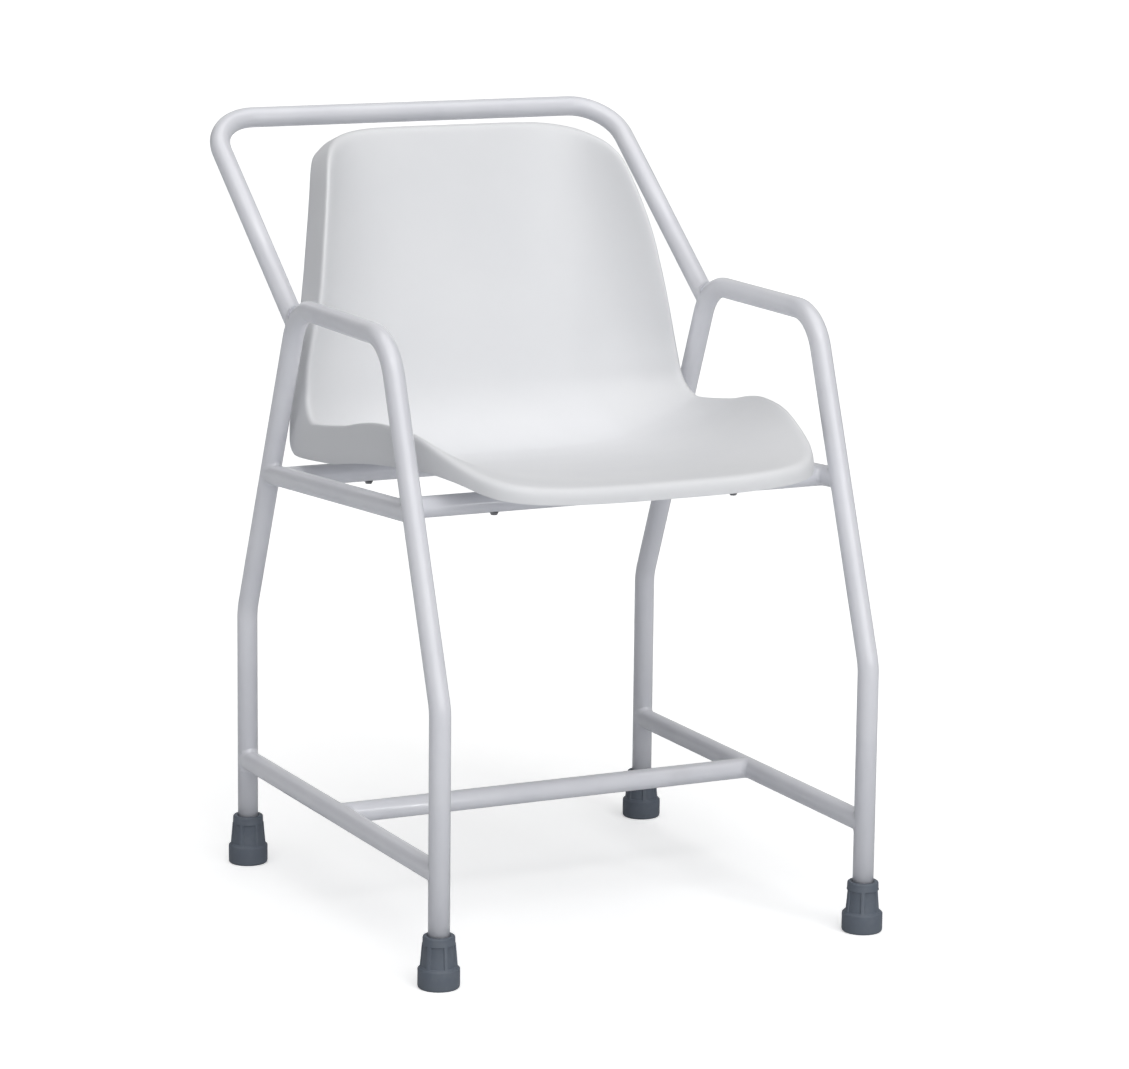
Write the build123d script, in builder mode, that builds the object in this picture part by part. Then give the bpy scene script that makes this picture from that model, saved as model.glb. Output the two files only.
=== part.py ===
from build123d import *
import os
from math import sqrt

# Shower chair: a welded frame of bent steel tube that carries a one-piece
# plastic shell, on four rubber ferrules. Millimetres, +Z up, the sitter faces -Y.
# The origin is on the floor, in the middle of the chair's overall footprint.

# Tube stock
tube_d = 22.2
tube_wall = 1.5
tube_r = tube_d / 2
bore_r = tube_r - tube_wall

# Side hoops: front leg, arm and rear leg in one tube on each side
frame_x = 245.0
front_foot_y = -304.5
rear_foot_y = 205.5
knee_z = 286.0
arm_z = 640.0
arm_front_y = -176.0
arm_rear_y = 59.5
hoop_bend = 55.0

# Back hoop, from the rear legs up round the top of the back
back_hoop_foot = (63.5, 620.0)
back_hoop_top = (314.9, 814.0)
back_hoop_bend = 52.0

# Rails and stretchers, by the heights where they meet the legs
rail_front_z = 472.5
rail_rear_z = 449.0
cross_rail_y = (-199.5, 100.5)
stretcher_z = 117.0

# Rubber ferrules
ferrule_r = 21.5
ferrule_collar_h = 21.0
ferrule_body_r = 18.6
ferrule_lip_r = 16.0
ferrule_lip_z = 47.0
ferrule_h = 54.0
ferrule_floor = 6.0
flute_count = 6
flute_depth = 1.2
flute_w = 13.5
foot_washer_r = 10.6
foot_washer_h = 1.5

# Seat fixings: button-head screws up through the cross rails
screw_x = (138.0, 146.0)
screw_r = 2.5
screw_hole_r = 2.75
screw_length = 30.0
screw_head_r = 4.75
screw_head_h = 2.75
socket_w = 3.0
insert_r = 4.0
insert_h = 8.0
insert_recess = 0.5
boss_r = 10.0

# Seat shell: a moulding of one wall thickness with a turned-down edge. The centre
# line is a side view (Y, Z) of the sitting surface from the front lip to the top
shell_wall = 3.5
fold_r = 10.0
centre_line = [(-350.0, 504.0), (115.5, 466.0), (140.5, 600.0), (212.0, 838.0)]
centre_bends = [80.0, 600.0]
block_depth = 75.0

# Rise of the sitting surface dish_x from the middle, at even steps along the centre line
dish_x = 240.0
dish_power = 3.5
dish_rise = [8.0, 27.0, 54.0, 65.5, 63.5, 57.0, 51.5, 55.5, 64.0, 86.0, 111.0, 130.0, 140.0]

# Outlines of the shell: the back seen square on, the seat from above, and the
# free edge of the turned-down wall from the side
shell_half_w = 229.0
back_tilt = 13.0
back_outline = [
    (0, 836), (105, 834), (150, 822), (171, 795), (184, 754),
    (198, 689), (210, 629), (221, 579), (shell_half_w, 524),
]
seat_outline = [
    (shell_half_w, 40), (223, -110), (212, -190), (203, -240),
    (186, -284), (160, -307), (120, -317), (0, -320),
]
outline_tail = 300.0
rim_corner = (99.5, 497.5)
rim_corner_r = 28.0
back_rim = [(255, 850), (230, 805), (190, 770), (165, 735), (146, 682), (137, 635), (130, 570)]
seat_rim = [(60, 471), (-141, 492), (-200, 501), (-230, 501), (-265, 497), (-290, 490), (-320, 484), (-360, 480)]

# Weld beads stand this far out, on the main tube and on the one welded to it
bead = 2.2
collar_bead = 2.5
bead_start = 2.5

os.makedirs("parts", exist_ok=True)


def save(piece, name):
    piece.label = name
    export_step(piece, f"parts/{name}.step")


def on_leg(z, foot_y, arm_y):
    """Y of a leg's centre line at height z, above its knee."""
    return foot_y + (z - knee_z) / (arm_z - knee_z) * (arm_y - foot_y)


def bent_bar(plane, corners, bend, outer, inner=0.0):
    """A round bar, or a tube when inner is given, along corners rounded to one bend."""
    with BuildPart() as bar:
        with BuildLine(plane) as path:
            FilletPolyline(*corners, radius=bend)
        with BuildSketch(Plane(origin=path.line @ 0, z_dir=path.line % 0)):
            Circle(outer)
            if inner:
                Circle(inner, mode=Mode.SUBTRACT)
        sweep(path=path.line)
    return bar.part


def straight_bar(start, end, outer, inner=0.0):
    """A round bar, or a tube when inner is given, between two points."""
    run = Vector(*end) - Vector(*start)
    with BuildPart() as bar:
        with BuildSketch(Plane(origin=start, z_dir=run)):
            Circle(outer)
            if inner:
                Circle(inner, mode=Mode.SUBTRACT)
        extrude(amount=run.length)
    return bar.part


def coped_tube(start, end, *mains):
    """A straight tube whose ends are cut to sit on the tubes that it meets."""
    tube = straight_bar(start, end, tube_r, bore_r)
    with BuildPart() as coped:
        add(tube)
        for main in mains:
            add(main, mode=Mode.SUBTRACT)
        middle = (Vector(*start) + Vector(*end)) * 0.5
        keep = coped.part.solids().sort_by_distance(middle)[0]
        add(keep, mode=Mode.REPLACE)
    return coped.part


def weld_bead(start, toward, main, main_skin):
    """The bead round a tube that starts on a main tube's centre line and runs toward a point."""
    along = (Vector(*toward) - Vector(*start)).normalized()
    root = Vector(*start) + along * bead_start
    tip = root + along * (3 * tube_r)
    collar = straight_bar(tuple(root), tuple(tip), tube_r + collar_bead)
    branch = straight_bar(tuple(root), tuple(tip), tube_r)
    with BuildPart() as weld:
        add(collar)
        add(main_skin, mode=Mode.INTERSECT)
        add(main, mode=Mode.SUBTRACT)
        add(branch, mode=Mode.SUBTRACT)
    return weld.part


# ---- Side hoops ----

tube_end_z = ferrule_floor + foot_washer_h
hoop_corners = [
    (front_foot_y, tube_end_z),
    (front_foot_y, knee_z),
    (arm_front_y, arm_z),
    (arm_rear_y, arm_z),
    (rear_foot_y, knee_z),
    (rear_foot_y, tube_end_z),
]
hoop_core = {}
hoop_skin = {}
for side, x in (("left", -frame_x), ("right", frame_x)):
    side_plane = Plane.YZ.offset(x)
    hoop_core[side] = bent_bar(side_plane, hoop_corners, hoop_bend, tube_r)
    hoop_skin[side] = bent_bar(side_plane, hoop_corners, hoop_bend, tube_r + bead)
    side_hoop = bent_bar(side_plane, hoop_corners, hoop_bend, tube_r, bore_r)
    save(side_hoop, f"side_hoop_{side}")

# ---- Back hoop ----

hoop_lean = Vector(0, back_hoop_top[0] - back_hoop_foot[0], back_hoop_top[1] - back_hoop_foot[1])
back_plane = Plane(
    origin=(0, *back_hoop_foot), x_dir=(1, 0, 0), z_dir=Vector(1, 0, 0).cross(hoop_lean)
)
back_corners = [
    (-frame_x, 0),
    (-frame_x, hoop_lean.length),
    (frame_x, hoop_lean.length),
    (frame_x, 0),
]
back_tube = bent_bar(back_plane, back_corners, back_hoop_bend, tube_r, bore_r)
with BuildPart() as back_hoop:
    add(back_tube)
    for core in hoop_core.values():
        add(core, mode=Mode.SUBTRACT)
    whole = back_hoop.part.solids().sort_by(SortBy.VOLUME)[-1]
    add(whole, mode=Mode.REPLACE)
save(back_hoop.part, "back_hoop")

# ---- Seat rails ----

rail_front_y = on_leg(rail_front_z, front_foot_y, arm_front_y)
rail_rear_y = on_leg(rail_rear_z, rear_foot_y, arm_rear_y)


def rail_z(y):
    """Height of the seat rails' common plane at y."""
    return rail_front_z + (y - rail_front_y) / (rail_rear_y - rail_front_y) * (rail_rear_z - rail_front_z)


rail_core = {}
rail_skin = {}
for side, x in (("left", -frame_x), ("right", frame_x)):
    front_end = (x, rail_front_y, rail_front_z)
    rear_end = (x, rail_rear_y, rail_rear_z)
    rail_core[side] = straight_bar(front_end, rear_end, tube_r)
    rail_skin[side] = straight_bar(front_end, rear_end, tube_r + bead)
    seat_side_rail = coped_tube(front_end, rear_end, hoop_core[side])
    save(seat_side_rail, f"seat_side_rail_{side}")

screw_spots = []
cross_core = []
for name, y, hole_x in zip(("front", "rear"), cross_rail_y, screw_x):
    z = rail_z(y)
    left_end, right_end = (-frame_x, y, z), (frame_x, y, z)
    cross_core.append(straight_bar(left_end, right_end, tube_r))
    cross_rail = coped_tube(left_end, right_end, *rail_core.values())
    with BuildPart() as seat_cross_rail:
        add(cross_rail)
        with Locations((-hole_x, y, z), (hole_x, y, z)):
            Cylinder(screw_hole_r, 2 * tube_d, mode=Mode.SUBTRACT)
    save(seat_cross_rail.part, f"seat_{name}_rail")
    screw_spots += [(-hole_x, y, z), (hole_x, y, z)]

# ---- Leg stretchers ----

stretcher_mid_y = (front_foot_y + rear_foot_y) / 2
stretcher_core = {}
stretcher_skin = {}
for side, x in (("left", -frame_x), ("right", frame_x)):
    front_end, rear_end = (x, front_foot_y, stretcher_z), (x, rear_foot_y, stretcher_z)
    stretcher_core[side] = straight_bar(front_end, rear_end, tube_r)
    stretcher_skin[side] = straight_bar(front_end, rear_end, tube_r + bead)
    save(coped_tube(front_end, rear_end, hoop_core[side]), f"leg_stretcher_{side}")

cross_ends = (-frame_x, stretcher_mid_y, stretcher_z), (frame_x, stretcher_mid_y, stretcher_z)
save(coped_tube(*cross_ends, *stretcher_core.values()), "leg_stretcher_cross")

# ---- Weld beads, one node for each kind of joint ----

welds = {name: [] for name in ("back_hoop", "side_rail", "cross_rail", "leg_stretcher", "cross_stretcher")}
for side, x in (("left", -frame_x), ("right", frame_x)):
    hoop = hoop_core[side], hoop_skin[side]
    welds["back_hoop"].append(
        weld_bead((x, *back_hoop_foot), (x, *back_hoop_top), *hoop)
    )
    rail_ends = (x, rail_front_y, rail_front_z), (x, rail_rear_y, rail_rear_z)
    welds["side_rail"] += [weld_bead(a, b, *hoop) for a, b in (rail_ends, rail_ends[::-1])]
    leg_ends = (x, front_foot_y, stretcher_z), (x, rear_foot_y, stretcher_z)
    welds["leg_stretcher"] += [weld_bead(a, b, *hoop) for a, b in (leg_ends, leg_ends[::-1])]
    for y in cross_rail_y:
        z = rail_z(y)
        welds["cross_rail"].append(weld_bead((x, y, z), (0, y, z), rail_core[side], rail_skin[side]))
    welds["cross_stretcher"].append(
        weld_bead(
            (x, stretcher_mid_y, stretcher_z), (0, stretcher_mid_y, stretcher_z),
            stretcher_core[side], stretcher_skin[side],
        )
    )
for joint, beads in welds.items():
    with BuildPart() as weld_group:
        for one in beads:
            add(one)
    save(weld_group.part, f"weld_{joint}")

# ---- Ferrules and the steel washers in them ----

feet = {
    "front_left": (-frame_x, front_foot_y),
    "front_right": (frame_x, front_foot_y),
    "rear_left": (-frame_x, rear_foot_y),
    "rear_right": (frame_x, rear_foot_y),
}
for corner, (x, y) in feet.items():
    with BuildPart() as ferrule:
        with BuildSketch(Plane.XZ) as half_section:
            with BuildLine():
                Polyline(
                    (0, 0),
                    (ferrule_r - 1.5, 0),
                    (ferrule_r, 2.5),
                    (ferrule_r - 0.3, ferrule_collar_h - 1.5),
                    (ferrule_r - 1.8, ferrule_collar_h),
                    (ferrule_body_r, ferrule_collar_h),
                    (ferrule_lip_r, ferrule_lip_z),
                    (ferrule_lip_r - 0.2, ferrule_h - 1.5),
                    (ferrule_lip_r - 1.7, ferrule_h),
                    (tube_r, ferrule_h),
                    (tube_r, ferrule_floor),
                    (0, ferrule_floor),
                    close=True,
                )
            make_face()
        revolve(axis=Axis.Z)
        with BuildSketch(Plane.XY) as tread:
            Circle(17.5)
            Circle(15.5, mode=Mode.SUBTRACT)
            Circle(11.5)
            Circle(9.5, mode=Mode.SUBTRACT)
        extrude(amount=1.5, mode=Mode.SUBTRACT)
        taper = (ferrule_body_r - ferrule_lip_r) / (ferrule_lip_z - ferrule_collar_h)
        face_r = ferrule_body_r - flute_depth
        flute_top = ferrule_lip_z - 1.0
        with PolarLocations(0, flute_count):
            with Locations(Location((face_r, 0, ferrule_collar_h), (0, -5.7, 0))):
                Box(
                    6, flute_w, flute_top - ferrule_collar_h,
                    align=(Align.MIN, Align.CENTER, Align.MIN), mode=Mode.SUBTRACT,
                )
    save(ferrule.part.moved(Location((x, y, 0))), f"ferrule_{corner}")

with BuildPart() as foot_washers:
    with BuildSketch(Plane.XY.offset(ferrule_floor)):
        with Locations(*feet.values()):
            Circle(foot_washer_r)
    extrude(amount=foot_washer_h)
save(foot_washers.part, "foot_washers")

# ---- Seat shell ----

with BuildLine(Plane.YZ) as seat_profile:
    FilletPolyline(*centre_line, radius=centre_bends)
seat_path = seat_profile.wire()


def seat_block(inset):
    """Solid behind the sitting surface, which is moved back by inset square to itself."""
    with BuildPart() as block:
        for step, rise in enumerate(dish_rise):
            at = step / (len(dish_rise) - 1)
            across = []
            for part in (-1.0, -0.8, -0.5, 0.0, 0.5, 0.8, 1.0):
                slope = dish_power * rise / dish_x * abs(part) ** (dish_power - 1)
                lift = rise * abs(part) ** dish_power - inset * sqrt(1 + slope**2)
                across.append((part * dish_x, lift))
            station = Plane(origin=seat_path @ at, x_dir=(1, 0, 0), z_dir=-(seat_path % at))
            back = -block_depth - inset
            with BuildSketch(station):
                with BuildLine():
                    Spline(*across)
                    Polyline(across[-1], (dish_x, back), (-dish_x, back), across[0])
                make_face()
        loft()
    return block.part


def inset_outline(points, tangents, inset):
    """The outline moved inward by inset, to the right of the way that it runs."""
    moved = []
    for i, (x, y) in enumerate(points):
        if i in (0, len(points) - 1):
            run = Vector(*tangents[min(i, 1)])
        else:
            run = Vector(*points[i + 1]) - Vector(*points[i - 1])
        inward = run.normalized().rotate(Axis.Z, -90) * inset
        moved.append((x + inward.X, y + inward.Y))
    return moved


def outline_prism(plane, outline, tangents, side_at, inset, reach):
    """Half an outline, closed beyond its side and mirrored, as a prism both ways from plane."""
    with BuildPart() as prism:
        with BuildSketch(plane):
            with BuildLine():
                line = inset_outline(outline, tangents, inset)
                side = line[side_at]
                Spline(*line, tangents=tangents)
                Polyline(side, (side[0], outline_tail), (0, outline_tail))
                mirror(about=Plane.YZ)
            make_face()
        extrude(amount=reach, both=True)
    return prism.part


def shell_form(inset, fold):
    """The shell's solid form, its surfaces moved in by inset and its fold rounded."""
    tilt = Plane(origin=(0, 0, 0), x_dir=(1, 0, 0), z_dir=Vector(0, -1, 0).rotate(Axis.X, -back_tilt))
    back_prism = outline_prism(tilt, back_outline, [(1, 0), (0, -1)], -1, inset, 600)
    seat_prism = outline_prism(Plane.XY, seat_outline, [(0, -1), (-1, 0)], 0, inset, 1000)
    block = seat_block(inset)
    with BuildPart() as form:
        add(block)
        add(back_prism, mode=Mode.INTERSECT)
        add(seat_prism, mode=Mode.INTERSECT)
        surfaces = form.faces().filter_by(GeomType.BSPLINE)
        sitting = surfaces.sort_by_distance((0, front_foot_y, 1.2 * arm_z))[0]
        fillet(sitting.edges(), fold)
    return form.part


outer_form = shell_form(0.0, fold_r)
inner_form = shell_form(shell_wall, fold_r - shell_wall)
under_seat = seat_block(2 * shell_wall)
boss_space = seat_block(shell_wall / 2)

with BuildPart() as rim_cut:
    with BuildSketch(Plane.YZ):
        with BuildLine():
            corner = CenterArc(rim_corner, rim_corner_r, 0, -90)
            Spline(*back_rim, corner @ 0, tangents=[(-0.5, -1), (0, -1)])
            Spline(corner @ 1, *seat_rim, tangents=[(-1, 0), (-1, 0)])
            Polyline(seat_rim[-1], (-360, 300), (400, 300), (400, 950), (255, 950), back_rim[0])
        make_face()
    extrude(amount=dish_x, both=True)
    add(under_seat, mode=Mode.INTERSECT)

with BuildPart() as bosses:
    for x, y, z in screw_spots:
        with BuildSketch(Plane.XY.offset(z)):
            with Locations((x, y)):
                Circle(boss_r)
        extrude(amount=4 * boss_r)
    add(boss_space, mode=Mode.INTERSECT)

with BuildPart() as seat_shell:
    add(outer_form)
    add(inner_form, mode=Mode.SUBTRACT)
    add(rim_cut.part, mode=Mode.SUBTRACT)
    add(bosses.part)
    for core in cross_core:
        add(core, mode=Mode.SUBTRACT)
    for x, y, z in screw_spots:
        insert_top = z + tube_r + insert_recess + insert_h
        with Locations((x, y, z)):
            Cylinder(
                insert_r, insert_top - z,
                align=(Align.CENTER, Align.CENTER, Align.MIN), mode=Mode.SUBTRACT,
            )
            Cylinder(
                screw_hole_r, insert_top + 1 - z,
                align=(Align.CENTER, Align.CENTER, Align.MIN), mode=Mode.SUBTRACT,
            )
save(seat_shell.part, "seat_shell")

# ---- Threaded inserts and screws ----

with BuildPart() as seat_inserts:
    for x, y, z in screw_spots:
        with BuildSketch(Plane.XY.offset(z + tube_r + insert_recess)):
            with Locations((x, y)):
                Circle(insert_r)
                Circle(screw_r, mode=Mode.SUBTRACT)
        extrude(amount=insert_h)
save(seat_inserts.part, "seat_inserts")

with BuildPart() as seat_screws:
    for x, y, z in screw_spots:
        seat = z - tube_r
        with BuildSketch(Plane.XY.offset(seat)):
            with Locations((x, y)):
                Circle(screw_r)
        extrude(amount=screw_length)
        with BuildSketch(Plane.XY.offset(seat)):
            with Locations((x, y)):
                Circle(screw_head_r)
        extrude(amount=-screw_head_h, taper=28)
        with BuildSketch(Plane.XY.offset(seat - screw_head_h)):
            with Locations((x, y)):
                RegularPolygon(socket_w / 2, 6, major_radius=False)
        extrude(amount=1.6, mode=Mode.SUBTRACT)
save(seat_screws.part, "seat_screws")
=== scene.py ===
import bpy
import bmesh
import math
from mathutils import Matrix, Vector


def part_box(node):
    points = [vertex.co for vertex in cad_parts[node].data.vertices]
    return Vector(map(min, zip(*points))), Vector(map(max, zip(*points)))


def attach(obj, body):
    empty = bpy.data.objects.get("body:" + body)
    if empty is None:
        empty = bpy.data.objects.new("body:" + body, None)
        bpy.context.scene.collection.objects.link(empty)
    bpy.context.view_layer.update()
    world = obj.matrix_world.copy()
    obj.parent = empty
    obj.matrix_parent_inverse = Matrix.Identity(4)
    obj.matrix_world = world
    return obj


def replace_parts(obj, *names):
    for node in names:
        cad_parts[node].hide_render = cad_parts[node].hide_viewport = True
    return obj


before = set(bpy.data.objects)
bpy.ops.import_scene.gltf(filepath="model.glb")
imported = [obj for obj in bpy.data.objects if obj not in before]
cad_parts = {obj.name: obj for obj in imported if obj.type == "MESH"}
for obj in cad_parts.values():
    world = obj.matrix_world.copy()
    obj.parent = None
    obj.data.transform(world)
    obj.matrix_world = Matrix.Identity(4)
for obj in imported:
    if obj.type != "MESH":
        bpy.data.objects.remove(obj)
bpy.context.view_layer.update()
scene = bpy.context.scene
mm = 0.001
body = "root"
print("frame loaded:", len(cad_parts), "nodes")


# Shader maths

class Wire:  # a node socket that can be used in sums
    def __init__(self, tree, socket=None):
        self.tree = tree
        self.socket = socket

    def node(self, kind, settings=None, inputs=None, output=0):
        made = self.tree.nodes.new(kind)
        for key, value in (settings or {}).items():
            if key == "stops":
                ramp = made.color_ramp
                while len(ramp.elements) < len(value):
                    ramp.elements.new(0.5)
                for element, (at, colour) in zip(ramp.elements, value):
                    element.position = at
                    element.color = colour
            else:
                setattr(made, key, value)
        for key, value in (inputs or {}).items():
            if isinstance(value, Wire):
                self.tree.links.new(value.socket, made.inputs[key])
            else:
                made.inputs[key].default_value = value
        return Wire(self.tree, made.outputs[output])

    def maths(self, operation, first, second):
        return self.node("ShaderNodeMath", {"operation": operation}, {0: first, 1: second})

    def __add__(self, other):
        return self.maths("ADD", self, other)

    def __radd__(self, other):
        return self.maths("ADD", other, self)

    def __mul__(self, other):
        return self.maths("MULTIPLY", self, other)

    def __rmul__(self, other):
        return self.maths("MULTIPLY", other, self)


def newMaterial(name, constants):
    material = bpy.data.materials.new(name)
    material.use_nodes = True
    tree = material.node_tree
    shader = tree.nodes["Principled BSDF"]
    for socket, value in constants.items():
        shader.inputs[socket].default_value = value
    start = Wire(tree)
    place = start.node("ShaderNodeTexCoord", output="Object")
    return material, shader, start, place


def feed(shader, socket, wire):
    wire.tree.links.new(wire.socket, shader.inputs[socket])


def noise(start, place, size, detail=3.0, roughness=0.55):
    inputs = {"Vector": place, "Scale": 1 / size, "Detail": detail, "Roughness": roughness}
    return start.node("ShaderNodeTexNoise", inputs=inputs)


def ramp(start, wire, low, high, bottom, top):
    inputs = {"Value": wire, "From Min": low, "From Max": high, "To Min": bottom, "To Max": top}
    return start.node("ShaderNodeMapRange", inputs=inputs)


def blendColours(start, factor, first, second):
    settings = {"data_type": "RGBA"}
    inputs = {0: factor, 6: first, 7: second}
    return start.node("ShaderNodeMix", settings, inputs, output=2)


def stretch(start, place, scale, turn=(0.0, 0.0, 0.0)):
    inputs = {"Vector": place, "Rotation": turn, "Scale": scale}
    return start.node("ShaderNodeMapping", inputs=inputs)


def bump(start, height, strength, distance):
    inputs = {"Height": height, "Strength": strength, "Distance": distance}
    return start.node("ShaderNodeBump", inputs=inputs)


# Camera and light

cameraSetup = {
    "place": (-1.95525, -4.04532, 1.2818),
    "yaw": -26.26,
    "pitch": -11.24,
    "roll": 0.64,
    "lens": 135.9,
    "sensor": 36.0,
    "seesTo": 200.0,
}


def addCamera(setup):
    data = bpy.data.cameras.new("camera")
    data.sensor_width = setup["sensor"]
    data.lens = setup["lens"]
    data.clip_end = setup["seesTo"]
    camera = bpy.data.objects.new("camera", data)
    scene.collection.objects.link(camera)
    turn = Matrix.Rotation(math.radians(setup["yaw"]), 4, "Z")
    tip = Matrix.Rotation(math.radians(90 + setup["pitch"]), 4, "X")
    lean = Matrix.Rotation(math.radians(setup["roll"]), 4, "Z")
    camera.matrix_world = Matrix.Translation(setup["place"]) @ turn @ tip @ lean
    scene.camera = camera


studio = {
    "floorSize": 200.0,
    "floorColour": (0.93, 0.93, 0.93, 1),
    "floorRoughness": 0.9,
    "floorBounce": (0.68, 0.69, 0.71, 1),  # the floor's colour for the light that it gives back
    "floorGlow": 0.40,
    "skyColour": (0.95, 0.98, 1.0, 1),
    "skyStrength": 0.05,
    "horizonStrength": 0.25,
    "skySeen": 1.0,  # added where the camera itself looks at the sky
    "horizonBand": (0.12, 0.20),  # the sky is bright below the first height and fades by the second
    # name: from, to, spread in degrees, strength
    "suns": {
        "top": ((-0.02, -0.25, 1.0), 70.0, 1.58),
        "front": ((-0.05, -1.0, 0.6), 50.0, 0.96),
        "left": ((-0.7, -0.9, 1.1), 40.0, 0.25),
        "rear": ((0.5, 1.0, 0.5), 60.0, 0.35),
    },
    # name: place, aim, size across, size along, power
    "lamps": {
        "strip": ((1.6, -4.0, 1.6), (0.0, 0.0, 0.5), 0.12, 3.0, 12.0),
        "sideStrip": ((-3.6, -0.9, 1.4), (0.0, 0.0, 0.5), 0.10, 2.8, 1.5),
    },
}


def addStudio(setup):
    bm = bmesh.new()
    bmesh.ops.create_grid(bm, x_segments=1, y_segments=1, size=setup["floorSize"] / 2)
    mesh = bpy.data.meshes.new("floor")
    bm.to_mesh(mesh)
    bm.free()
    floor = bpy.data.objects.new("floor", mesh)
    scene.collection.objects.link(floor)
    paint = bpy.data.materials.new("floorPaint")
    paint.use_nodes = True
    shader = paint.node_tree.nodes["Principled BSDF"]
    shader.inputs["Base Color"].default_value = setup["floorColour"]
    shader.inputs["Roughness"].default_value = setup["floorRoughness"]
    shader.inputs["Emission Color"].default_value = (1, 1, 1, 1)
    shader.inputs["Emission Strength"].default_value = setup["floorGlow"]
    bounce = paint.node_tree.nodes.new("ShaderNodeBsdfDiffuse")
    bounce.inputs["Color"].default_value = setup["floorBounce"]
    mixed = paint.node_tree.nodes.new("ShaderNodeMixShader")
    rays = paint.node_tree.nodes.new("ShaderNodeLightPath")
    links = paint.node_tree.links
    links.new(rays.outputs["Is Camera Ray"], mixed.inputs[0])
    links.new(bounce.outputs[0], mixed.inputs[1])
    links.new(shader.outputs[0], mixed.inputs[2])
    links.new(mixed.outputs[0], paint.node_tree.nodes["Material Output"].inputs["Surface"])
    mesh.materials.append(paint)

    world = bpy.data.worlds.new("studio")
    world.use_nodes = True
    sky = world.node_tree.nodes["Background"]
    sky.inputs["Color"].default_value = setup["skyColour"]
    start = Wire(world.node_tree)
    heading = start.node("ShaderNodeTexCoord", output="Generated")
    height = start.node("ShaderNodeSeparateXYZ", inputs={"Vector": heading}, output="Z")
    seen = start.node("ShaderNodeLightPath", output="Is Camera Ray")
    low, high = setup["horizonBand"]
    glow = ramp(start, height, low, high, setup["horizonStrength"], setup["skyStrength"])
    feed(sky, "Strength", glow + seen * setup["skySeen"])
    scene.world = world

    for name, (heading, spread, strength) in setup["suns"].items():
        data = bpy.data.lights.new(name, "SUN")
        data.angle = math.radians(spread)
        data.energy = strength
        lamp = bpy.data.objects.new(name, data)
        lamp.rotation_euler = (-Vector(heading)).to_track_quat("-Z", "Y").to_euler()
        scene.collection.objects.link(lamp)
    for name, (place, aim, across, along, power) in setup["lamps"].items():
        data = bpy.data.lights.new(name, "AREA")
        data.shape = "RECTANGLE"
        data.size = across
        data.size_y = along
        data.energy = power
        lamp = bpy.data.objects.new(name, data)
        lamp.location = place
        lamp.rotation_euler = (Vector(aim) - Vector(place)).to_track_quat("-Z", "Y").to_euler()
        scene.collection.objects.link(lamp)
    scene.view_settings.view_transform = "Standard"
    scene.view_settings.look = "None"


addCamera(cameraSetup)
addStudio(studio)
print("camera and studio ready")


paintLook = {
    "colour": (0.790, 0.795, 0.835, 1),
    "thinColour": (0.750, 0.756, 0.802, 1),
    "roughness": 0.27,
    "cloudRoughness": 0.06,  # how much duller the clouds are
    "coat": 0.55,
    "coatRoughness": 0.07,
    "cloudSize": 0.06,
    "peelSize": 0.0022,
    "peelDepth": 0.00005,
    "scuffSize": 0.011,
    "scuffStretch": (1.0, 1.0, 0.3),
    "scuffRoughness": 0.04,
    "beadSize": 0.0016,  # the ripple left by welding
    "beadPeel": 0.25,
    "beadDepth": 0.0004,
}


def paintedTube(name, look, overWeld=False):
    constants = {"Coat Weight": look["coat"], "Coat Roughness": look["coatRoughness"], "IOR": 1.5}
    material, shader, start, place = newMaterial(name, constants)
    cloud = noise(start, place, look["cloudSize"])
    tint = ramp(start, cloud, 0.35, 0.70, 0.0, 1.0)
    feed(shader, "Base Color", blendColours(start, tint, look["colour"], look["thinColour"]))
    scuffs = noise(start, stretch(start, place, look["scuffStretch"]), look["scuffSize"], 6.0, 0.7)
    rubbed = ramp(start, scuffs, 0.30, 0.70, 0.0, look["scuffRoughness"])
    smooth, dull = look["roughness"], look["roughness"] + look["cloudRoughness"]
    feed(shader, "Roughness", rubbed + ramp(start, cloud, 0.3, 0.7, smooth, dull))
    height, depth = noise(start, place, look["peelSize"], 2.0), look["peelDepth"]
    if overWeld:
        ripple = noise(start, place, look["beadSize"], 1.0)
        height, depth = height * look["beadPeel"] + ripple, look["beadDepth"]
    feed(shader, "Normal", bump(start, height, 0.6, depth))
    return material


plasticLook = {
    "colour": (0.795, 0.800, 0.815, 1),
    "flowColour": (0.772, 0.779, 0.797, 1),
    "roughness": 0.40,
    "cloudRoughness": 0.07,
    "cloudSize": 0.14,
    "grainSize": 0.0007,
    "grainDepth": 0.00006,
    "scratchSize": 0.004,
    "scratchStretch": (1.0, 0.12, 0.6),
    "scratchTurn": (0.2, 0.1, 0.9),
    "scratchRoughness": 0.12,
    "waveSize": 0.035,
    "waveShare": 2.0,  # the wave's height for each part of grain
}


def mouldedPlastic(name, look):
    material, shader, start, place = newMaterial(name, {"IOR": 1.49})
    cloud = noise(start, place, look["cloudSize"], 4.0)
    tint = ramp(start, cloud, 0.30, 0.72, 0.0, 1.0)
    feed(shader, "Base Color", blendColours(start, tint, look["colour"], look["flowColour"]))
    lines = stretch(start, place, look["scratchStretch"], look["scratchTurn"])
    scratches = noise(start, lines, look["scratchSize"], 5.0, 0.75)
    worn = ramp(start, scratches, 0.62, 0.74, 0.0, look["scratchRoughness"])
    smooth, dull = look["roughness"], look["roughness"] + look["cloudRoughness"]
    feed(shader, "Roughness", worn + ramp(start, cloud, 0.3, 0.7, smooth, dull))
    grain = noise(start, place, look["grainSize"], 2.0)
    wave = noise(start, place, look["waveSize"], 1.0)
    height = grain + wave * look["waveShare"]
    feed(shader, "Normal", bump(start, height, 0.5, look["grainDepth"]))
    return material


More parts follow.
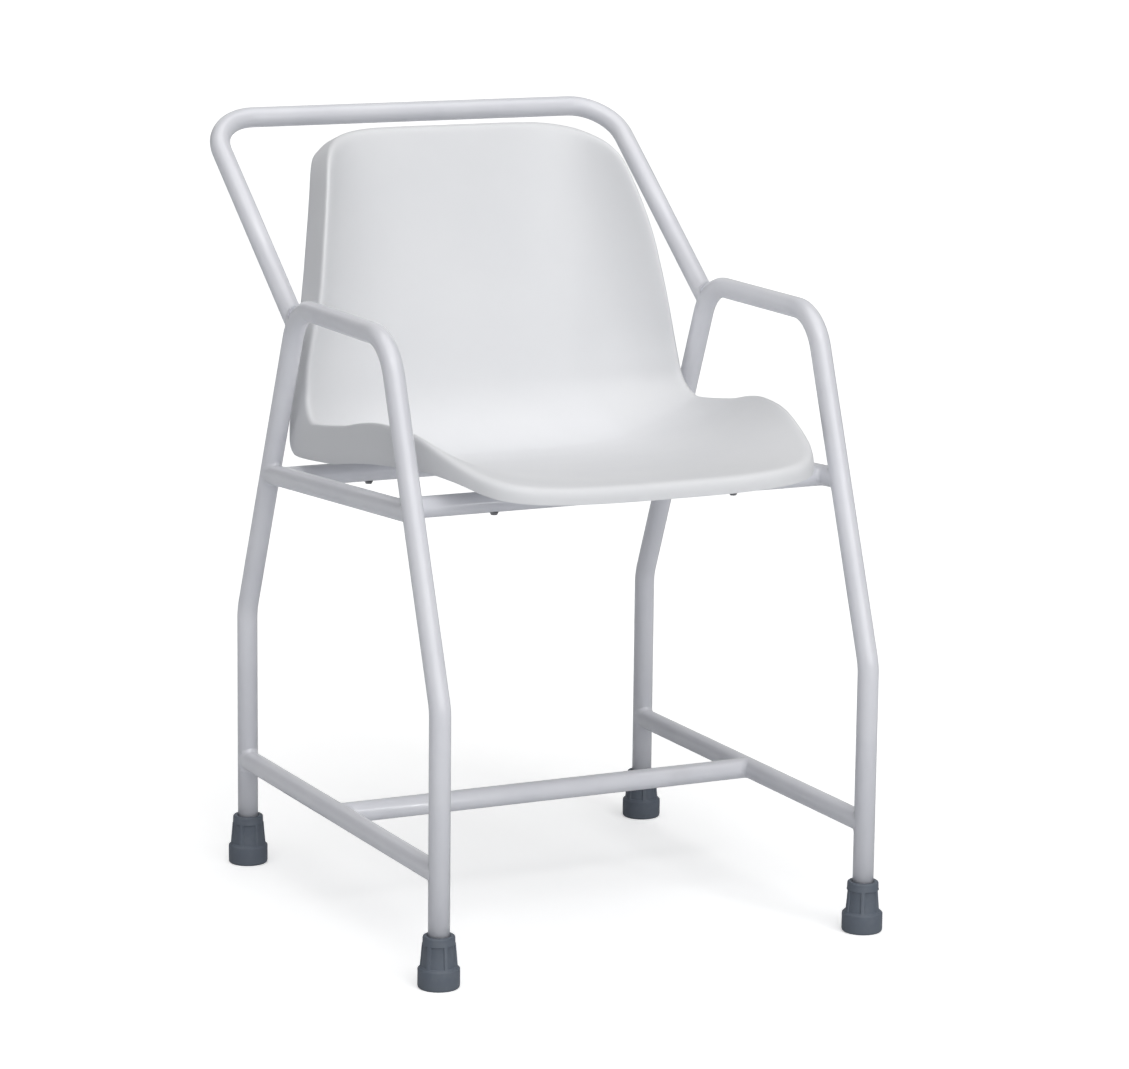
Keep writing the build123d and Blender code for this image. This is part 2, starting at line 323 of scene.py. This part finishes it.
rubberLook = {
    "colour": (0.108, 0.128, 0.159, 1),
    "dustColour": (0.145, 0.163, 0.188, 1),
    "roughness": 0.55,
    "cloudSize": 0.012,
    "grainSize": 0.0009,
    "grainDepth": 0.00008,
    "patches": 0.55,  # the most dust in a patch
    "dustHeight": 0.014,  # dust also lies below this height
    "lowDust": 0.5,
    "lowSpread": 1.6,
    "dustRoughness": 0.2,
}


def mouldedRubber(name, look):
    material, shader, start, place = newMaterial(name, {"IOR": 1.52})
    height = start.node("ShaderNodeSeparateXYZ", inputs={"Vector": place}, output="Z")
    low = ramp(start, height, 0.0, look["dustHeight"], look["lowDust"], 0.0)
    cloud = noise(start, place, look["cloudSize"], 5.0, 0.65)
    patches = ramp(start, cloud, 0.45, 0.75, 0.0, look["patches"])
    dust = start.maths("MAXIMUM", patches, low * cloud * look["lowSpread"])
    feed(shader, "Base Color", blendColours(start, dust, look["colour"], look["dustColour"]))
    feed(shader, "Roughness", dust * look["dustRoughness"] + look["roughness"])
    grain = noise(start, place, look["grainSize"], 3.0)
    feed(shader, "Normal", bump(start, grain, 0.6, look["grainDepth"]))
    return material


metalLooks = {
    # colour, duller colour, roughness
    "screwSteel": ((0.33, 0.33, 0.34, 1), (0.22, 0.22, 0.23, 1), 0.32),
    "washerSteel": ((0.58, 0.58, 0.59, 1), (0.44, 0.44, 0.45, 1), 0.38),
    "insertBrass": ((0.72, 0.56, 0.28, 1), (0.55, 0.42, 0.22, 1), 0.30),
}

turnedMarks = {
    "cloudSize": 0.003,
    "lineSize": 0.002,
    "lineStretch": (1.0, 1.0, 12.0),
    "lineRoughness": 0.2,
    "lineDepth": 0.00002,
}


def bareMetal(name, colour, dull, roughness, marks):
    material, shader, start, place = newMaterial(name, {"Metallic": 1.0})
    cloud = noise(start, place, marks["cloudSize"], 4.0, 0.6)
    feed(shader, "Base Color", blendColours(start, cloud, colour, dull))
    turned = noise(start, stretch(start, place, marks["lineStretch"]), marks["lineSize"], 3.0)
    feed(shader, "Roughness", turned * marks["lineRoughness"] + roughness)
    feed(shader, "Normal", bump(start, turned, 0.3, marks["lineDepth"]))
    return material


tubePaint = paintedTube("tubePaint", paintLook)
weldPaint = paintedTube("weldPaint", paintLook, overWeld=True)
shellPlastic = mouldedPlastic("shellPlastic", plasticLook)
ferruleRubber = mouldedRubber("ferruleRubber", rubberLook)
metals = {name: bareMetal(name, *look, turnedMarks) for name, look in metalLooks.items()}
print("materials ready")


# CAD nodes that keep their shape

keptNodes = {
    "foot_washers": metals["washerSteel"],
    "seat_screws": metals["screwSteel"],
    "seat_inserts": metals["insertBrass"],
    "seat_front_rail": tubePaint,
    "seat_rear_rail": tubePaint,
    "seat_side_rail_left": tubePaint,
    "seat_side_rail_right": tubePaint,
    "leg_stretcher_left": tubePaint,
    "leg_stretcher_right": tubePaint,
    "leg_stretcher_cross": tubePaint,
}


def coat(node, material):
    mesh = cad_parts[node].data
    if not mesh.materials:
        mesh.materials.append(material)
    for i in range(len(mesh.materials)):
        mesh.materials[i] = material


for node, material in keptNodes.items():
    coat(node, material)
print("frame painted")


# Helpers for new pieces

def finishPiece(name, bm, material, smoothAngle=None):  # from a bmesh in mm
    bmesh.ops.scale(bm, vec=(mm, mm, mm), verts=bm.verts)
    mesh = bpy.data.meshes.new(name)
    bm.to_mesh(mesh)
    bm.free()
    for face in mesh.polygons:
        face.use_smooth = True
    if smoothAngle is not None:
        mesh.set_sharp_from_angle(angle=math.radians(smoothAngle))
    mesh.materials.append(material)
    piece = bpy.data.objects.new(name, mesh)
    scene.collection.objects.link(piece)
    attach(piece, body)
    return piece


def giveWall(piece, thickness, even=False):  # inwards from the skin
    wall = piece.modifiers.new("wall", "SOLIDIFY")
    wall.thickness = thickness * mm
    wall.offset = -1.0
    wall.use_even_offset = even


def roundEdges(piece, width, segments, sharpest):
    rounding = piece.modifiers.new("rounding", "BEVEL")
    rounding.width = width * mm
    rounding.segments = segments
    rounding.limit_method = "ANGLE"
    rounding.angle_limit = math.radians(sharpest)


def circleRing(bm, around):  # a new circle's vertices and their angles
    made = bmesh.ops.create_circle(bm, segments=around, radius=1.0)["verts"]
    return {v: math.atan2(v.co.y, v.co.x) for v in made}


def ringEdges(bm, ring):
    return [e for e in bm.edges if e.verts[0] in ring and e.verts[1] in ring]


def growRing(bm, ring, place):  # extrude a ring; place gives each new vertex's point from its mark
    grown = bmesh.ops.extrude_edge_only(bm, edges=ringEdges(bm, ring))["geom"]
    fresh = {}
    for v in (g for g in grown if isinstance(g, bmesh.types.BMVert)):
        source = next(e.other_vert(v) for e in v.link_edges if e.other_vert(v) in ring)
        fresh[v] = ring[source]
        v.co = place(ring[source])
    return fresh


def readTable(rows, at):  # smooth values between a table's rows, by their first column
    at = min(max(at, rows[0][0]), rows[-1][0])
    i = max(k for k in range(len(rows) - 1) if rows[k][0] <= at)
    width = rows[i + 1][0] - rows[i][0]
    t = (at - rows[i][0]) / width

    def slope(k, column):
        a, b = rows[max(k - 1, 0)], rows[min(k + 1, len(rows) - 1)]
        return (b[column] - a[column]) / (b[0] - a[0])

    values = []
    for column in range(1, len(rows[0])):
        p, q = rows[i][column], rows[i + 1][column]
        m, n = slope(i, column) * width, slope(i + 1, column) * width
        values.append(
            (2 * t**3 - 3 * t**2 + 1) * p + (t**3 - 2 * t**2 + t) * m
            + (3 * t**2 - 2 * t**3) * q + (t**3 - t**2) * n
        )
    return values


def spacedAlong(points, first, last, count):  # even steps between two points of a smooth curve
    lengths = [0.0]
    for a, b in zip(points, points[1:]):
        lengths.append(lengths[-1] + (Vector(b) - Vector(a)).length)
    rows = [(length, *point) for length, point in zip(lengths, points)]
    span = lengths[last] - lengths[first]
    return [Vector(readTable(rows, lengths[first] + span * i / count)) for i in range(count + 1)]


# Seat shell. Sizes in mm; "along" runs up the middle of the seat from the front lip

shell = {
    "line": ((-350.0, 504.0), (115.5, 466.0), (140.5, 600.0), (212.0, 838.0)),  # side view, Y and Z
    "bends": (80.0, 600.0),
    # half the edge as X and along, from the middle of the front lip round to the middle of the top
    "edge": (
        (0, 28), (60, 28.5), (120, 32), (155, 40), (178, 55), (192, 77), (203, 108), (214, 160),
        (222, 215), (229, 270), (232, 330), (232, 400), (229, 460), (225, 515), (220, 550),
        (207, 602), (196, 663), (182.5, 722), (175, 748), (163, 769), (145, 785), (120, 794),
        (86, 797.5), (0, 798),
    ),
    "frontCorner": 4,  # the edge's points where the grid's corners lie
    "topCorner": 19,
    # along: half width, rise of the surface there, and how sharply it curls
    "sides": (
        (0, 196, 4, 3.0), (60, 200, 16, 3.2), (110, 205, 32, 3.4), (176, 215, 53, 3.5),
        (231, 223, 60.5, 3.5), (277, 229, 59.5, 3.5), (318, 232, 54, 3.5), (385, 232, 49, 3.5),
        (448, 229, 49, 3.5), (516, 225, 49, 3.6), (550, 221, 51, 3.8), (602, 207, 64, 4.0),
        (663, 196, 69, 4.2), (723, 183, 63, 4.5), (764, 175, 53, 5.0), (798, 168, 30, 5.5),
        (830, 165, 5, 5.5),
    ),
    # along: how far the free edge lies behind the fold and below it
    "walls": (
        (28, 0, 18), (80, -1, 20), (108, -1, 24), (150, 2, 34), (176, 4, 42), (231, 10, 49),
        (277, 19, 51), (348, 40, 49), (400, 52, 46), (430, 56, 40), (460, 52, 31), (516, 43, 17),
        (550, 41, 10), (602, 50, 8), (663, 50, 10), (725, 48, 10), (764, 45, 12), (780, 36, 13),
        (798, 28, 9),
    ),
    "draft": 3.0,  # how far the back's walls spread, reached over draftRun from draftStart up
    "draftStart": 480.0,
    "draftRun": 120.0,
    "draftMiddle": 100.0,  # none nearer to the middle than this
    "foldRadius": 12.0,
    "foldRings": 7,
    "wallRings": 4,
    "across": 64,
    "up": 120,
    "thickness": 3.5,
    "edgeRound": 0.9,
    "edgeSteps": 3,
    "edgeAngle": 60.0,
}


def roundedLine(corners, bends):  # straight runs and arcs: (length, start, heading, turn per mm)
    runs = []
    here = Vector(corners[0])
    for i, bend in enumerate(bends):
        corner, beyond = Vector(corners[i + 1]), Vector(corners[i + 2])
        heading, after = (corner - here).normalized(), (beyond - corner).normalized()
        turn = math.atan2(heading.x * after.y - heading.y * after.x, heading.dot(after))
        cut = bend * math.tan(abs(turn) / 2)
        angle = math.atan2(heading.y, heading.x)
        runs.append(((corner - here).length - cut, here, angle, 0.0))
        bendStart = corner - heading * cut
        runs.append((bend * abs(turn), bendStart, angle, math.copysign(1 / bend, turn)))
        here = corner + after * cut
    last = Vector(corners[-1]) - here
    runs.append((last.length, here, math.atan2(last.y, last.x), 0.0))
    return runs


def pointOnLine(runs, along):  # place and heading at a distance along a rounded line
    for length, start, angle, bend in runs:
        if along <= length or start is runs[-1][1]:
            break
        along -= length
    if not bend:
        return start + Vector((math.cos(angle), math.sin(angle))) * along, angle
    turned = angle + bend * along
    step = Vector((math.sin(turned) - math.sin(angle), math.cos(angle) - math.cos(turned))) / bend
    return start + step, turned


shellRuns = roundedLine(shell["line"], shell["bends"])


def sittingSurface(x, along):
    centre, angle = pointOnLine(shellRuns, along)
    halfWidth, rise, curl = readTable(shell["sides"], along)
    lift = rise * (abs(x) / halfWidth) ** curl
    return Vector((x, centre.x - math.sin(angle) * lift, centre.y + math.cos(angle) * lift))


def ringOfEdge():  # the fold's outline as a square's four sides, each from low to high
    half, up = shell["across"] // 2, shell["up"]
    edge, low, high = shell["edge"], shell["frontCorner"], shell["topCorner"]
    front = spacedAlong(edge, 0, low, half)
    side = spacedAlong(edge, low, high, up)
    top = spacedAlong(edge, high, len(edge) - 1, half)[::-1]

    def mirrored(points):
        return [Vector((-p.x, p.y)) for p in points]

    return {
        "low": mirrored(front)[:0:-1] + front,
        "high": mirrored(top)[:0:-1] + top,
        "left": mirrored(side),
        "right": side,
    }


def movedIn(points, amount, closedEnds):
    moved = []
    for i, p in enumerate(points):
        before = points[i - 1] if i else closedEnds[0]
        after = points[i + 1] if i + 1 < len(points) else closedEnds[1]
        run = (after - before).normalized()
        moved.append(p + Vector((-run.y, run.x)) * amount)
    return moved


def buildShell():
    edge = ringOfEdge()
    across, up, fold = shell["across"], shell["up"], shell["foldRadius"]
    # one closed loop: right along the front, up the right, back along the top and down the left
    loop = edge["low"][:-1] + edge["right"][:-1] + edge["high"][:0:-1] + edge["left"][:0:-1]
    inner = movedIn(loop, fold, (loop[-1], loop[0]))
    low = inner[: across + 1]
    right = inner[across: across + up + 1]
    high = inner[across + up: 2 * across + up + 1][::-1]
    left = (inner[2 * across + up:] + inner[:1])[::-1]

    bm = bmesh.new()
    bmesh.ops.create_grid(bm, x_segments=across, y_segments=up, size=1)
    cell = {}
    for v in bm.verts:
        i, j = round((v.co.x + 1) / 2 * across), round((v.co.y + 1) / 2 * up)
        cell[v] = (i, j)
        u, w = i / across, j / up
        sides = low[i] * (1 - w) + high[i] * w + left[j] * (1 - u) + right[j] * u
        leftCorners, rightCorners = low[0].lerp(high[0], w), low[-1].lerp(high[-1], w)
        flat = sides - leftCorners.lerp(rightCorners, u)
        v.co = sittingSurface(flat.x, flat.y)

    def loopIndex(i, j):
        if j == 0:
            return i
        if i == across:
            return across + j
        if j == up:
            return across + up + (across - i)
        return (2 * across + 2 * up - j) % len(loop)

    rims = []
    for p in loop:
        crest = sittingSurface(p.x, p.y)
        back, down = readTable(shell["walls"], p.y)
        share = max(0.0, min(1.0, (p.y - shell["draftStart"]) / shell["draftRun"]))
        spread = shell["draft"] * share if abs(p.x) > shell["draftMiddle"] else 0.0
        outward = Vector((math.copysign(spread, p.x), 0, 0))
        rims.append((crest, crest + Vector((0, back, -down)) + outward))

    ring = {v: loopIndex(*cell[v]) for v in bm.verts if v.is_boundary}
    start = {index: v.co.copy() for v, index in ring.items()}
    for k in range(1, shell["foldRings"] + shell["wallRings"] + 1):

        def place(index):
            crest, rim = rims[index]
            below = crest + (rim - crest).normalized() * fold
            if k > shell["foldRings"]:
                return below.lerp(rim, (k - shell["foldRings"]) / shell["wallRings"])
            t = k / shell["foldRings"]
            return start[index] * (1 - t) ** 2 + crest * (2 * t * (1 - t)) + below * t**2

        ring = growRing(bm, ring, place)
    bmesh.ops.recalc_face_normals(bm, faces=bm.faces)
    if sum(f.normal.z * f.calc_area() for f in bm.faces) < 0:
        bmesh.ops.reverse_faces(bm, faces=bm.faces)
    piece = finishPiece("seatShell", bm, shellPlastic)
    giveWall(piece, shell["thickness"], even=True)
    roundEdges(piece, shell["edgeRound"], shell["edgeSteps"], shell["edgeAngle"])
    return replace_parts(piece, "seat_shell")


seatShell = buildShell()
print("seat shell built:", len(seatShell.data.polygons), "faces")


def spinProfile(bm, profile, steps):  # a closed round solid from (radius, height) points
    verts = [bm.verts.new((r, 0.0, z)) for r, z in profile]
    edges = [bm.edges.new(pair) for pair in zip(verts, verts[1:])]
    bmesh.ops.spin(
        bm, geom=verts + edges, cent=(0, 0, 0), axis=(0, 0, 1), angle=2 * math.pi, steps=steps,
        use_merge=True,
    )
    poles = [v for v in bm.verts if v.co.xy.length < 1e-6]
    bmesh.ops.remove_doubles(bm, verts=poles, dist=1e-5)


ferrule = {
    # radius and height, in mm
    "profile": (
        (0.0, 6.0), (11.1, 6.0), (11.1, 53.0), (12.1, 54.0),  # the bore
        (15.3, 54.0), (16.2, 53.2), (16.5, 52.0), (16.6, 46.4), (17.2, 45.2),  # the lip
        (19.1, 22.2), (19.9, 21.0),  # the fluted body
        (20.3, 21.0), (21.5, 19.8), (21.5, 3.0), (21.2, 1.2), (20.1, 0.0),  # the collar
    ),
    "treads": ((17.5, 15.5), (11.5, 9.5)),  # outer and inner radius of each groove underneath
    "treadDepth": 1.5,
    "treadSlope": 0.2,
    "steps": 96,
    "flutes": 6,
    "fluteBand": (22.6, 45.2),  # heights between which the flutes are sunk
    "fluteOutside": 13.1,  # the radius that keeps them out of the bore
    "ribSteps": 3,  # steps of the ring left standing between two flutes
    "fluteDepth": 1.4,
    "fluteSlope": 0.5,
    "edgeRound": 0.45,
    "edgeSteps": 2,
    "edgeAngle": 35.0,
    "turns": {"front_left": 24.0, "front_right": 55.0, "rear_left": 37.0, "rear_right": 8.0},
}


def buildFerrule(corner, look):
    node = "ferrule_" + corner
    lo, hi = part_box(node)
    profile = list(look["profile"])
    depth, slope = look["treadDepth"], look["treadSlope"]
    for outer, inner in look["treads"]:
        profile += [(outer, 0), (outer - slope, depth), (inner + slope, depth), (inner, 0)]
    profile.append((0, 0))
    bm = bmesh.new()
    spinProfile(bm, profile, look["steps"])
    bmesh.ops.recalc_face_normals(bm, faces=bm.faces)
    bottom, top = look["fluteBand"]
    perFlute = look["steps"] // look["flutes"]
    for flute in range(look["flutes"]):
        panel = []
        for face in bm.faces:
            middle = face.calc_center_median()
            if not bottom < middle.z < top or middle.xy.length < look["fluteOutside"]:
                continue
            share = math.atan2(middle.y, middle.x) % (2 * math.pi) / (2 * math.pi)
            step = int(share * look["steps"])
            if step // perFlute == flute and step % perFlute >= look["ribSteps"]:
                panel.append(face)
        bmesh.ops.inset_region(
            bm, faces=panel, thickness=look["fluteSlope"], depth=-look["fluteDepth"],
            use_even_offset=True,
        )
    turn = Matrix.Rotation(math.radians(look["turns"][corner]), 4, "Z")
    foot = Vector(((lo.x + hi.x) / 2, (lo.y + hi.y) / 2, lo.z))
    bmesh.ops.transform(bm, matrix=Matrix.Translation(foot / mm) @ turn, verts=bm.verts)
    title = "ferrule" + corner.title().replace("_", "")
    piece = finishPiece(title, bm, ferruleRubber)
    roundEdges(piece, look["edgeRound"], look["edgeSteps"], look["edgeAngle"])
    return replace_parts(piece, node)


for corner in ferrule["turns"]:
    buildFerrule(corner, ferrule)
print("ferrules built")


# The frame's own dimensions, in mm, for what is fitted to it
chair = {
    "tubeRadius": 11.1,
    "halfWidth": 245.0,
    "frontFoot": -304.5,  # feet, arm ends and cross rails lie at these Y
    "rearFoot": 205.5,
    "armFront": -176.0,
    "armRear": 59.5,
    "crossRails": (-199.5, 100.5),
    "knee": 286.0,  # heights
    "armHeight": 640.0,
    "railFront": 472.5,
    "railRear": 449.0,
    "stretcher": 117.0,
    "hoopFoot": (63.5, 620.0),  # Y and Z of the back hoop's ends and of its top
    "hoopTop": (314.9, 814.0),
}


def legAt(foot, arm, height):  # a leg's centre line above its knee
    share = (height - chair["knee"]) / (chair["armHeight"] - chair["knee"])
    return foot + share * (arm - foot)


railFrontY = legAt(chair["frontFoot"], chair["armFront"], chair["railFront"])
railRearY = legAt(chair["rearFoot"], chair["armRear"], chair["railRear"])


def railHeight(y):
    t = (y - railFrontY) / (railRearY - railFrontY)
    return chair["railFront"] + t * (chair["railRear"] - chair["railFront"])


hoops = {
    "sideBend": 55.0,
    "backBend": 52.0,
    "wall": 1.5,
    "footCut": 7.5,  # the height of the legs' cut ends
    "backStart": 2.0,  # how far along its own line the back hoop starts
    "around": 56,
    "bendSteps": 22,
    "sharpAngle": 50.0,
}


def roundedPath(corners, bend, steps):  # points and headings along a line with rounded corners
    corners = [Vector(corner) for corner in corners]
    path = [(corners[0], (corners[1] - corners[0]).normalized())]
    for before, corner, after in zip(corners, corners[1:], corners[2:]):
        arrive, leave = (corner - before).normalized(), (after - corner).normalized()
        turn = arrive.angle(leave)
        reach = bend * math.tan(turn / 2)
        centre = corner + (leave - arrive).normalized() * (bend / math.cos(turn / 2))
        axis = arrive.cross(leave).normalized()
        spoke = corner - arrive * reach - centre
        for i in range(steps + 1):
            swing = Matrix.Rotation(turn * i / steps, 3, axis)
            path.append((centre + swing @ spoke, swing @ arrive))
    path.append((corners[-1], (corners[-1] - corners[-2]).normalized()))
    return path


def sweepSkin(bm, path, normal, radius, around):  # a round skin along a flat path, open at its ends
    def pointAt(angle, point, heading):
        side = normal.cross(heading)
        return point + (normal * math.cos(angle) + side * math.sin(angle)) * radius

    ring = circleRing(bm, around)
    for v, angle in ring.items():
        v.co = pointAt(angle, *path[0])
    for point, heading in path[1:]:
        ring = growRing(bm, ring, lambda angle: pointAt(angle, point, heading))


def buildTube(title, node, corners, bend, normal, look):
    bm = bmesh.new()
    path = roundedPath(corners, bend, look["bendSteps"])
    sweepSkin(bm, path, normal, chair["tubeRadius"], look["around"])
    bmesh.ops.recalc_face_normals(bm, faces=bm.faces)
    piece = finishPiece(title, bm, tubePaint, look["sharpAngle"])
    giveWall(piece, look["wall"])
    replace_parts(piece, node)


def buildHoops(look):
    cut, knee, arm = look["footCut"], chair["knee"], chair["armHeight"]
    side = [
        (chair["frontFoot"], cut), (chair["frontFoot"], knee), (chair["armFront"], arm),
        (chair["armRear"], arm), (chair["rearFoot"], knee), (chair["rearFoot"], cut),
    ]
    half, crosswise = chair["halfWidth"], Vector((1, 0, 0))
    left, right = ([(x, *corner) for corner in side] for x in (-half, half))
    buildTube("sideHoopLeft", "side_hoop_left", left, look["sideBend"], crosswise, look)
    buildTube("sideHoopRight", "side_hoop_right", right, look["sideBend"], crosswise, look)
    foot, top = Vector((0, *chair["hoopFoot"])), Vector((0, *chair["hoopTop"]))
    lean = (top - foot).normalized()
    foot += lean * look["backStart"]
    across = crosswise * half
    back = [foot - across, top - across, top + across, foot + across]
    buildTube("backHoop", "back_hoop", back, look["backBend"], crosswise.cross(lean), look)


buildHoops(hoops)
print("hoops built")


bosses = {
    "spots": ((138.0, 0), (146.0, 1)),  # distance from the middle, and which cross rail
    "radius": 10.0,
    "footRound": 0.8,
    "footSink": 0.6,  # into the cross rail
    # how much wider, and how far below the pan
    "flare": ((0.0, 9.0), (0.3, 4.4), (1.2, 2.2), (2.6, 1.2)),
    "follow": 12.0,  # the top's height that follows the pan above it
    "sink": 2.2,  # how far that stays below the sitting surface
    "climb": 14.0,  # the most that it rises over the boss's middle
    "steps": 48,
    "sharpAngle": 40.0,
}


def seatHeight(x, y):
    along = next(a for a in range(600) if sittingSurface(x, a).y >= y)
    before, after = sittingSurface(x, along - 1), sittingSurface(x, along)
    return before.lerp(after, (y - before.y) / (after.y - before.y)).z


def buildBosses(look):
    bm = bmesh.new()
    for offset, rail in look["spots"]:
        for x in (-offset, offset):
            y = chair["crossRails"][rail]
            bottom = railHeight(y) + chair["tubeRadius"] - look["footSink"]
            top = seatHeight(x, y)
            radius, soft, height = look["radius"], look["footRound"], top - bottom
            profile = [(0, 0), (radius - soft, 0), (radius, soft)]
            profile += [(radius + out, height - below) for out, below in look["flare"]]
            profile.append((0, profile[-1][1]))
            one = bmesh.new()
            spinProfile(one, profile, look["steps"])
            bmesh.ops.translate(one, vec=(x, y, bottom), verts=one.verts)
            for v in one.verts:
                below = top - v.co.z
                if below < look["follow"]:
                    pan = min(seatHeight(v.co.x, v.co.y), top + look["climb"])
                    v.co.z = pan - look["sink"] - below
            mesh = bpy.data.meshes.new("boss")
            one.to_mesh(mesh)
            one.free()
            bm.from_mesh(mesh)
    bmesh.ops.recalc_face_normals(bm, faces=bm.faces)
    return finishPiece("seatBosses", bm, shellPlastic, look["sharpAngle"])


buildBosses(bosses)
print("bosses built")


welds = {
    "reach": 3.6,  # from the meeting of two tubes out along each
    "fullness": 0.55,
    "skin": 0.06,  # how far the bead's edges stand off the tubes
    "rootShare": 0.93,  # the hidden inner corner: its share of the tube's radius, and its depth
    "rootDepth": 1.0,
    "ripples": 20,
    "rippleDepth": 0.08,
    "around": 72,
    "ringSteps": 6,
    "sharpAngle": 50.0,
}


def meetMain(start, main, branch):  # how far along the branch a point meets the main tube's skin
    across = start - main * start.dot(main)
    run = branch - main * branch.dot(main)
    outside = across.length_squared - chair["tubeRadius"] ** 2
    inside = across.dot(run) ** 2 - run.length_squared * outside
    return (-across.dot(run) + math.sqrt(max(inside, 0.0))) / run.length_squared


def ontoMain(point, main, skin):  # pull a point onto the main tube
    level = main * point.dot(main)
    out = (point - level).normalized() * (chair["tubeRadius"] + skin)
    return level + out


def addBead(bm, origin, main, branch, look):
    origin, main, branch = Vector(origin), Vector(main).normalized(), Vector(branch).normalized()
    first = (main - branch * main.dot(branch)).normalized()
    second = branch.cross(first)
    radius = chair["tubeRadius"]

    def section(phi, t):  # from the branch at 0 to the main tube at 1
        spoke = first * math.cos(phi) + second * math.sin(phi)
        reach = look["reach"] + look["rippleDepth"] * math.sin(phi * look["ripples"])
        root = spoke * radius
        met = meetMain(root, main, branch)
        if t > 1:
            return origin + root * look["rootShare"] + branch * (met - look["rootDepth"])
        tip = spoke * (radius + look["skin"]) + branch * (met + reach)
        wide = spoke * (radius + reach)
        toe = ontoMain(wide + branch * meetMain(wide, main, branch), main, look["skin"])
        corner = root + branch * met
        control = corner.lerp((tip + toe) / 2, look["fullness"])
        return origin + tip * (1 - t) ** 2 + control * (2 * t * (1 - t)) + toe * t**2

    ring = firstRing = circleRing(bm, look["around"])
    for v, phi in ring.items():
        v.co = section(phi, 0.0)
    for k in range(1, look["ringSteps"] + 2):
        ring = growRing(bm, ring, lambda phi: section(phi, k / look["ringSteps"]))
    bmesh.ops.bridge_loops(bm, edges=ringEdges(bm, firstRing) + ringEdges(bm, ring))


def buildWelds(look):
    half, front, rear = chair["halfWidth"], chair["frontFoot"], chair["rearFoot"]
    rise = chair["armHeight"] - chair["knee"]
    frontLeg = (0, chair["armFront"] - front, rise)
    rearLeg = (0, chair["armRear"] - rear, rise)
    railStart = Vector((railFrontY, chair["railFront"]))
    railEnd = Vector((railRearY, chair["railRear"]))
    rail = railEnd - railStart
    hoop = Vector(chair["hoopTop"]) - Vector(chair["hoopFoot"])
    middle, low = (front + rear) / 2, chair["stretcher"]
    # each joint: where the centre lines meet, and the headings of the main tube and the branch
    groups = ("back_hoop", "side_rail", "cross_rail", "leg_stretcher", "cross_stretcher")
    joints = {name: [] for name in groups}
    for x in (-half, half):
        inward = (-math.copysign(1, x), 0, 0)
        joints["back_hoop"].append(((x, *chair["hoopFoot"]), rearLeg, (0, *hoop)))
        joints["side_rail"].append(((x, *railStart), frontLeg, (0, *rail)))
        joints["side_rail"].append(((x, *railEnd), rearLeg, (0, *-rail)))
        for y in chair["crossRails"]:
            joints["cross_rail"].append(((x, y, railHeight(y)), (0, *rail), inward))
        joints["leg_stretcher"].append(((x, front, low), (0, 0, 1), (0, 1, 0)))
        joints["leg_stretcher"].append(((x, rear, low), (0, 0, 1), (0, -1, 0)))
        joints["cross_stretcher"].append(((x, middle, low), (0, 1, 0), inward))
    for name, places in joints.items():
        bm = bmesh.new()
        for origin, main, branch in places:
            addBead(bm, origin, main, branch, look)
        bmesh.ops.recalc_face_normals(bm, faces=bm.faces)
        title = "weld" + name.title().replace("_", "")
        piece = finishPiece(title, bm, weldPaint, look["sharpAngle"])
        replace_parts(piece, "weld_" + name)


buildWelds(welds)
print("welds built")
